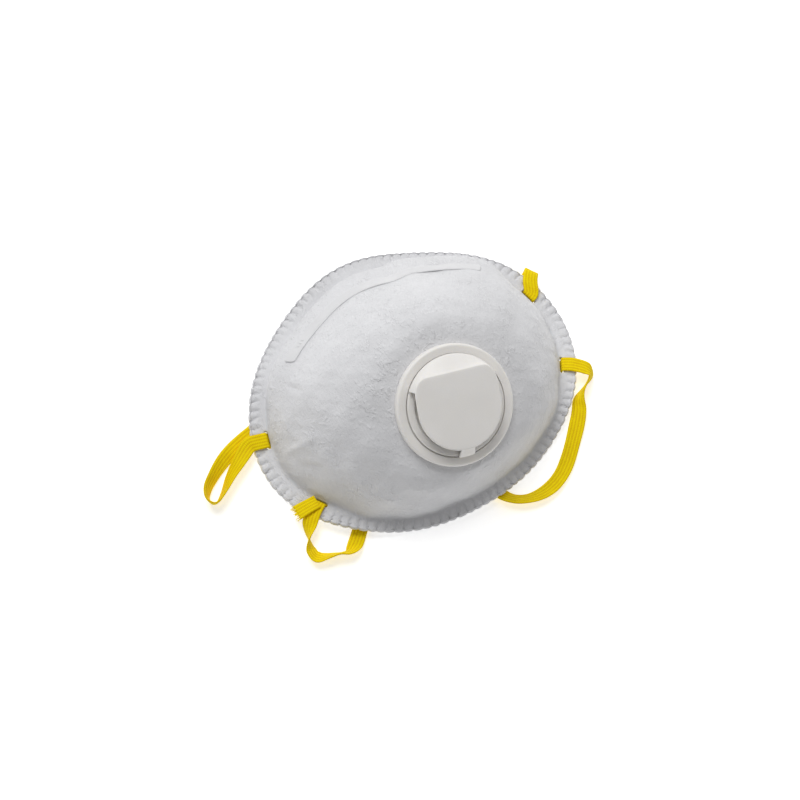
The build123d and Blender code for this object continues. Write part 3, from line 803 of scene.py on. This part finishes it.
def make_foam():
    """The foam strip inside the nose: a fuller profile with slightly wavy sides."""
    line, wide, face, u, v, walked = nose_strip(
        "foam", FOAM_FIRST, FOAM_LAST, FOAM_PLACE, 0.0, (STACK, -0.6 - FOAM_THICK / 2),
        FOAM_WIDTH, FOAM_THICK, 240, 8, wall_point)
    rings = rings_along(line, wide, face, u * uneven(walked, FOAM_WAVES)[:, None], v)
    return grid_object("foam_strip", rings, capped=True)


clip = make_clip()
foam = make_foam()

# %% [markdown]
# ## Valve flap
# Inside the valve a thin silicone disc lies on the sealing ridge. One edge is clamped under the cover, and
# the rest lifts when the wearer breathes out. It is one flat piece here.

# %% Flap
FLAP_RADIUS, FLAP_ROOT, FLAP_LOW, FLAP_THICK = 14.8, 14.2, 2.9, 0.5


def make_flap():
    """Disc cut by a chord: rings at growing shares of the outline, over the top, edge and underside."""
    turn = np.linspace(0, 2 * np.pi, 144, endpoint=False)
    straight = FLAP_ROOT / np.maximum(np.sin(turn), 0.05)
    reach = np.minimum(FLAP_RADIUS, straight)
    half = FLAP_THICK / 2
    inside = np.linspace(0.02, 0.98, 18)
    swing = np.radians(np.array([60, 30, 0, -30, -60]))
    shares = np.concatenate([inside, 0.985 + 0.015 * np.cos(swing), inside[::-1]])
    highs = np.concatenate([np.full(18, half), half * np.sin(swing), np.full(18, -half)])
    points = valve_rings(shares[:, None] * reach, turn, FLAP_LOW + half + highs[:, None])
    return grid_object("silicone_flap", points, capped=True)


flap = make_flap()

# %% [markdown]
# ## Valve cover
# The cover is a shallow moulded lid: a flat top shaped like a D, a sloping roof over the hinge side, and
# one small bridge opposite it. Air leaves through the two gaps between them. It is worked out as rings
# round the valve's axis: at every angle a section runs out over the top, down the skirt where there is
# one, and back underneath. Where there is no skirt the same points gather in the lid's lip.

# %% Cover and inner step
COVER_TOP, COVER_WALL = 8.0, 1.0
COVER_ROUND, COVER_CHORD, COVER_CORNER = 16.0, 13.2, 18.3
SKIRT_FOOT, ROOF_FOOT, ROOF_START, TAB_HALF = 19.0, 3.9, 9.0, 3.0
TAB_TOP = 4.6
LIP_BEND = ((0.4, 0.03), (0.16, 0.12), (0.02, 0.32))
LIP_LOW = COVER_TOP - 0.42
SLOPE_SHARES = np.array([[0.12], [0.5], [0.88]])
STEP_LOW, STEP_TOP, STEP_INNER, STEP_OUTER = 1.66, 3.3, 15.7, 18.6


def cover_outline(turn):
    """Radius of the flat top: soft minimum of a circle, two sides and the chord; a circle below."""
    up = np.maximum(np.sin(turn), 1e-3)
    side = np.maximum(np.abs(np.cos(turn)), 1e-3)
    limits = [COVER_CHORD / up, COVER_ROUND / side, np.full_like(turn, COVER_CORNER)]
    squared = sum(limit ** -26.0 for limit in limits) ** (-1 / 26.0)
    return np.where(np.sin(turn) > 0, squared, COVER_ROUND)


def angles_with_edges(edges, count, gap):
    """Even angles, with a close pair at each edge so that a step there is a clean wall."""
    even = np.linspace(0, 2 * np.pi, count, endpoint=False)
    pairs = np.concatenate([[edge - gap, edge + gap] for edge in edges])
    return np.sort(np.mod(np.concatenate([even, pairs]), 2 * np.pi))


def make_cover():
    """Sections (radius, height): over the top, down to the skirt's foot or the lip, and back inside."""
    hood = np.arcsin(ROOF_START / SKIRT_FOOT)
    tab = np.arcsin(TAB_HALF / SKIRT_FOOT)
    edges = [hood, np.pi - hood, 1.5 * np.pi - tab, 1.5 * np.pi + tab]
    turn = angles_with_edges(edges, 240, 0.006)
    hooded = (turn > hood) & (turn < np.pi - hood)
    bridged = np.abs(turn - 1.5 * np.pi) < tab
    skirt = hooded | bridged
    reach = cover_outline(turn)
    foot = np.where(skirt, SKIRT_FOOT, reach)
    low = np.where(skirt, STEP_TOP, COVER_TOP - COVER_WALL)
    roof = np.where(skirt, np.where(bridged, TAB_TOP, ROOF_FOOT), COVER_TOP - 0.5)
    inner = foot - COVER_WALL
    shares = np.linspace(0.03, 1, 14)[:, None]
    top_r = shares * (reach - 0.7)
    top_h = COVER_TOP + 0.04 * (1 - shares ** 2) + 0 * reach
    bend_r = np.stack([reach - inward for inward, _ in LIP_BEND])
    bend_h = np.stack([COVER_TOP - down + 0 * reach for _, down in LIP_BEND])
    down_r = np.vstack([reach + (foot - reach) * SLOPE_SHARES, foot, foot])
    down_h = np.vstack([LIP_LOW + (roof - LIP_LOW) * SLOPE_SHARES, roof - 0.25, low + 0.05])
    back_r = np.stack([foot - 0.1, inner, inner, np.minimum(inner, reach - COVER_WALL) - 0.3])
    back_h = np.stack([low, low, np.maximum(low, roof - 0.9), COVER_TOP - COVER_WALL + 0 * reach])
    under_r = np.linspace(0.9, 0.03, 5)[:, None] * (reach - COVER_WALL - 0.3)
    under_h = np.full_like(under_r, COVER_TOP - COVER_WALL)
    r = np.vstack([top_r, bend_r, down_r, back_r, under_r])
    high = np.vstack([top_h, bend_h, down_h, back_h, under_h])
    return grid_object("valve_lid", valve_rings(r, turn, high), capped=True)


def make_step():
    """A low ring on the base's floor under the gaps: a rounded four-sided section, turned round."""
    swing = np.radians(np.arange(0, 360, 15.0) + 7.5)
    out, up = (squared_off(wave, 0.35) for wave in (np.cos(swing), np.sin(swing)))
    r = (STEP_INNER + STEP_OUTER) / 2 + (STEP_OUTER - STEP_INNER) / 2 * out
    high = (STEP_LOW + STEP_TOP) / 2 + (STEP_TOP - STEP_LOW) / 2 * up
    turn = np.linspace(0, 2 * np.pi, 180, endpoint=False)[:, None]
    return grid_object("valve_step", valve_rings(r, turn, high), closed=True)


lid = make_cover()
step = make_step()

# %% [markdown]
# ## Writing shader maths as arithmetic
# A material is a net of nodes. To keep it readable, one small class wraps a socket, so that `grain * 0.2`
# or `1 - mask` adds the Math node itself. Every other node comes from one method that sets its settings
# first and then its sockets, with plain values or links.

# %% Shader helpers
class Signal:
    """A value socket that can be added, multiplied and compared like a number."""

    def __init__(self, finish, socket):
        self.finish, self.socket = finish, socket

    def maths(self, operation, *terms):
        return self.finish.node("ShaderNodeMath", {"operation": operation}, dict(enumerate(terms)))

    def __add__(self, other):
        return self.maths("ADD", self, other)

    def __radd__(self, other):
        return self.maths("ADD", other, self)

    def __sub__(self, other):
        return self.maths("SUBTRACT", self, other)

    def __rsub__(self, other):
        return self.maths("SUBTRACT", other, self)

    def __mul__(self, other):
        return self.maths("MULTIPLY", self, other)

    def __rmul__(self, other):
        return self.maths("MULTIPLY", other, self)

    def sine(self):
        return self.maths("SINE", self)

    def size(self):
        return self.maths("ABSOLUTE", self)


class Finish:
    """One material, with the one method that adds any node to it."""

    def __init__(self, name):
        self.material = bpy.data.materials.new(name)
        self.material.use_nodes = True
        self.tree = self.material.node_tree
        self.tree.nodes.clear()

    def node(self, kind, settings=None, sockets=None, output=0):
        node = self.tree.nodes.new(kind)
        for key, value in (settings or {}).items():
            setattr(node, key, value)
        for key, value in (sockets or {}).items():
            if isinstance(value, Signal):
                self.tree.links.new(value.socket, node.inputs[key])
            else:
                node.inputs[key].default_value = value
        return Signal(self, node.outputs[output])

    def place(self, scale=(1, 1, 1)):
        """Object coordinates, stretched by a Mapping node."""
        start = self.node("ShaderNodeTexCoord", output=3)
        return self.node("ShaderNodeMapping", {}, {"Vector": start, "Scale": scale})

    def noise(self, place, scale, detail=3.0, roughness=0.5, distortion=0.0):
        return self.node("ShaderNodeTexNoise", {}, {"Vector": place, "Scale": scale, "Detail": detail,
                                                    "Roughness": roughness, "Distortion": distortion})

    def ramp(self, value, low, high):
        """0 below low, 1 above high."""
        return self.node("ShaderNodeMapRange", {"interpolation_type": "SMOOTHSTEP"},
                         {"Value": value, "From Min": low, "From Max": high})

    def mix(self, share, first, second):
        """Colour mix; the two colours are triples or links."""
        first, second = (c if isinstance(c, Signal) else (*c, 1) for c in (first, second))
        return self.node("ShaderNodeMix", {"data_type": "RGBA"}, {0: share, 6: first, 7: second}, output=2)

    def bump(self, height, distance, strength=1.0):
        return self.node("ShaderNodeBump", {}, {"Height": height, "Distance": distance, "Strength": strength})

    def surface(self, sockets):
        shader = self.node("ShaderNodeBsdfPrincipled", {}, sockets)
        out = self.tree.nodes.new("ShaderNodeOutputMaterial")
        self.tree.links.new(shader.socket, out.inputs["Surface"])
        return self.material


# %% [markdown]
# ## Needle felt
# Needle felt is a mat of fine crossing fibres. Up close it has short hair-thin strands in every direction,
# small pits where the needles went in, and a slightly cloudy white. Three stretched noises make the
# strands, a cellular pattern makes the pits, and a slow noise makes the cloudiness. The outer felt also
# has loose tufts in patches, and a few faint wrinkles.

# %% Felt finishes
def felt(name, light, dark, strand=2200.0, relief=0.0004, tufts=0.0):
    """White needle felt: colour from clouds, strands and tufts, bump from strands, pits, lumps, wrinkles."""
    f = Finish(name)
    strands = (f.noise(f.place((1, 0.16, 0.4)), strand, 2, 0.6, 0.4)
               + f.noise(f.place((0.16, 1, 0.4)), strand, 2, 0.6, 0.4)
               + f.noise(f.place((0.5, 0.3, 1)), strand * 0.7, 2, 0.6, 0.4)) * 0.33
    lumps = f.noise(f.place(), 420, 3, 0.6)
    clouds = f.noise(f.place(), 45, 3, 0.55)
    needle = f.node("ShaderNodeTexVoronoi", {}, {"Vector": f.place(), "Scale": 900.0})
    holes = f.ramp(needle, 0.05, 0.35)
    patches = f.ramp(f.noise(f.place(), 70, 2, 0.5), 0.42, 0.62)
    loose = f.ramp(f.noise(f.place((1, 0.6, 0.8)), 520, 3, 0.6, 0.3), 0.46, 0.72) * (patches * 0.6 + 0.4)
    wrinkles = 1 - f.ramp((f.noise(f.place((0.6, 1, 1)), 60, 1, 0.4, 0.5) - 0.5).size(), 0.0, 0.06)
    wrinkles = wrinkles * f.ramp(f.noise(f.place(), 34, 2, 0.5), 0.50, 0.70)
    shade = f.ramp(clouds * 0.45 + strands * 0.45 + loose * (0.12 * tufts), 0.34, 0.60)
    colour = f.mix(shade, dark, light)
    height = (strands * 0.5 + lumps * 0.45 + holes * 0.06 + loose * (0.45 * tufts)
              - wrinkles * (0.16 * tufts))
    return f.surface({"Base Color": colour, "Roughness": f.ramp(strands, 0.2, 0.9) * 0.15 + 0.8,
                      "Normal": f.bump(height, relief), "Sheen Weight": 0.25, "Sheen Roughness": 0.5,
                      "Specular IOR Level": 0.2})


felt_finish = felt("needle_felt", (0.77, 0.77, 0.785), (0.71, 0.71, 0.725), relief=0.0006, tufts=1.0)
filter_finish = felt("filter_web", (0.78, 0.80, 0.82), (0.70, 0.72, 0.75), strand=4200.0, relief=0.00012)
inner_finish = felt("inner_felt", (0.80, 0.79, 0.77), (0.70, 0.69, 0.67), strand=1800.0, relief=0.00016)

# %% [markdown]
# ## Elastic, plastics, silicone and foam
# The elastic is knitted from dyed yarn over thin rubber cords: lengthwise ridges with fine cross stitches,
# with painted shade in deeper orange between the ridges. The valve is moulded in a soft white plastic with a
# fine spark-eroded grain. The clip's coat is a shade greyer, the flap is cloudy silicone, and the foam has
# open cells, with painted shade in their hollows.

# %% Elastic finish
def elastic():
    """Yellow knit: the ridges follow the lay map's first value, the stitches its second."""
    f = Finish("elastic_yellow")
    across = f.node("ShaderNodeSeparateXYZ", {}, {0: f.node("ShaderNodeUVMap", {"uv_map": "lay"})})
    along = Signal(f, across.socket.node.outputs[1])
    turns = 2 * np.pi * BAND_RIDGES / BAND_WIDTH
    ridge = ((across + BAND_WIDTH / 2) * turns - np.pi / 2).sine() * 0.5 + 0.5
    stitch = ((along * 9.5) + (across * 3.1).sine() * 0.8).sine() * 0.5 + 0.5
    worn = f.noise(f.place(), 260, 3, 0.6)
    fuzz = f.noise(f.place(), 3500, 2, 0.6)
    # Painted shade: the valleys between the ridges and between the stitches are mixed towards deeper orange;
    # the noise adds random tone.
    depth = f.ramp(ridge * 0.45 + stitch * 0.12 + worn * 0.6, 0.15, 0.85)
    colour = f.mix(depth, (0.78, 0.50, 0.0), (0.95, 0.74, 0.0))
    height = ridge * 0.35 + stitch * 0.4 + fuzz * 0.25
    return f.surface({"Base Color": colour, "Roughness": fuzz * 0.2 + 0.62, "Normal": f.bump(height, 0.00012),
                      "Sheen Weight": 0.04, "Specular IOR Level": 0.12})


def plastic(name, light, dark, rough, grain, relief, **more):
    """Moulded plastic: a faint cloudy colour, a fine spark-eroded grain, and uneven gloss."""
    f = Finish(name)
    clouds = f.noise(f.place(), 60, 2, 0.5)
    texture = f.noise(f.place(), grain, 3, 0.65)
    scuffs = f.noise(f.place((1, 0.2, 1)), 700, 3, 0.7, 0.8)
    colour = f.mix(f.ramp(clouds * 0.7 + texture * 0.3, 0.35, 0.65), dark, light)
    rougher = f.ramp(scuffs, 0.45, 0.75) * 0.12 + texture * 0.1 + (rough - 0.08)
    return f.surface({"Base Color": colour, "Roughness": rougher, "Normal": f.bump(texture, relief), **more})


def foam_cells():
    """Grey-white open foam: light cell walls at the edges of a cellular pattern, two sizes, and painted shade
    in grey in the hollows between them.
    """
    f = Finish("foam_cells")
    cells = f.node("ShaderNodeTexVoronoi", {"feature": "DISTANCE_TO_EDGE"},
                   {"Vector": f.place(), "Scale": 1500.0})
    fine = f.node("ShaderNodeTexVoronoi", {}, {"Vector": f.place(), "Scale": 3800.0})
    walls = 1 - f.ramp(cells, 0.02, 0.16)
    # Painted shade: the cell hollows are mixed towards dark grey and the cell walls towards light; the finer
    # cells add random tone.
    colour = f.mix(walls * 0.7 + fine * 0.3, (0.42, 0.42, 0.43), (0.78, 0.78, 0.77))
    return f.surface({"Base Color": colour, "Roughness": walls * 0.1 + 0.85,
                      "Normal": f.bump(walls * 0.7 + fine * 0.3, 0.0004), "Sheen Weight": 0.1})


elastic_finish = elastic()
valve_finish = plastic("valve_plastic", (0.93, 0.905, 0.87), (0.885, 0.86, 0.825), 0.5, 2600, 0.00003,
                       **{"Subsurface Weight": 0.15, "Subsurface Radius": (0.002, 0.0018, 0.0014),
                          "Subsurface Scale": 1.0, "Specular IOR Level": 0.4})
clip_finish = plastic("clip_coat", (0.74, 0.74, 0.75), (0.69, 0.69, 0.70), 0.5, 1800, 0.00003,
                      **{"Specular IOR Level": 0.4})
silicone_finish = plastic("cloudy_silicone", (0.80, 0.81, 0.80), (0.70, 0.72, 0.72), 0.35, 1500, 0.00001,
                          **{"Transmission Weight": 0.25, "IOR": 1.41})
foam_finish = foam_cells()


def dress(piece, material):
    """Give the piece its finish."""
    piece.data.materials.clear()
    piece.data.materials.append(material)


dress(outer_web, felt_finish)
dress(filter_web, filter_finish)
dress(inner_web, inner_finish)
dress(clip, clip_finish)
dress(foam, foam_finish)
dress(flap, silicone_finish)
dress(lid, valve_finish)
dress(step, valve_finish)
for piece in (upper_band, lower_band, tail, threads):
    dress(piece, elastic_finish)
for node in ("valve_base", "valve_backing_ring"):
    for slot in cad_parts[node].material_slots:
        slot.material = valve_finish

# %% [markdown]
# ## Joining the pieces to the bodies
# Every piece but the valve flap rides on the mask's body; the flap's placement is baked into its mesh.

# %% Body and hidden CAD parts
for piece in (outer_web, filter_web, inner_web, clip, foam, lid, step, upper_band, lower_band, tail, threads):
    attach(piece, "mask")
tuple(valve_point(0, 12.9, 3.1) * MM)
tuple(valve_point(0, 9.9, 3.1) * MM)
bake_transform(flap)
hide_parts("outer_cover")
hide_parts("filter_layer")
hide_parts("inner_shell")
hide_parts("nose_clip")
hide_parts("nose_foam")
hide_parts("valve_cover")
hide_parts("valve_flap", "flap_root")
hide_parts("upper_band", "upper_band_wrap_left", "upper_band_wrap_right")
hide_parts("lower_band", "lower_band_wrap_left", "lower_band_wrap_right")
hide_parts("lower_band_tail")

# %% [markdown]
# ## Floor and light
# A white table and soft light from above and from the nose side: one wide lamp over the nose, a weaker
# one from the right cheek, and a white sky that fills the shadows. The chin side falls into a soft grey.

# %% Floor, lamps and sky
FLOOR_SIZE, FLOOR_GLOW = 3.0, 0.50
SKY_STRENGTH = 0.29


def white_floor():
    """A plain pale table with a barely visible mottling."""
    f = Finish("white_table")
    tone = f.mix(f.noise(f.place(), 8, 2, 0.5), (0.90, 0.90, 0.90), (0.93, 0.93, 0.93))
    return f.surface({"Base Color": tone, "Roughness": 0.85, "Emission Color": (1, 1, 1, 1),
                      "Emission Strength": FLOOR_GLOW, "Specular IOR Level": 0.1})


floor_mesh = bpy.data.meshes.new("table")
corners = [(-FLOOR_SIZE, -FLOOR_SIZE, 0), (FLOOR_SIZE, -FLOOR_SIZE, 0), (FLOOR_SIZE, FLOOR_SIZE, 0),
           (-FLOOR_SIZE, FLOOR_SIZE, 0)]
floor_mesh.from_pydata(corners, [], [(0, 1, 2, 3)])
floor_mesh.materials.append(white_floor())
floor = new_object("table", floor_mesh)


def soft_lamp(name, way, distance, size, power, colour):
    """A square lamp at way x distance from the mask, facing it."""
    light = bpy.data.lights.new(name, "AREA")
    light.size, light.energy, light.color = size, power, colour
    lamp = new_object(name, light)
    way = Vector(way).normalized()
    lamp.rotation_mode = "QUATERNION"
    lamp.rotation_quaternion = way.to_track_quat("Z", "Y")
    lamp.location = way * distance


soft_lamp("key", (0.05, 0.62, 1.0), 1.2, 0.7, 9.2, (0.99, 0.993, 1.0))
soft_lamp("cheek", (0.95, 0.05, 0.75), 1.4, 0.9, 1.5, (1.0, 0.98, 0.95))
world = bpy.data.worlds.new("studio")
world.use_nodes = True
sky = world.node_tree.nodes["Background"]
sky.inputs["Color"].default_value = (1.0, 1.0, 1.0, 1)
sky.inputs["Strength"].default_value = SKY_STRENGTH
bpy.context.scene.world = world
bpy.context.scene.view_settings.view_transform = "Standard"
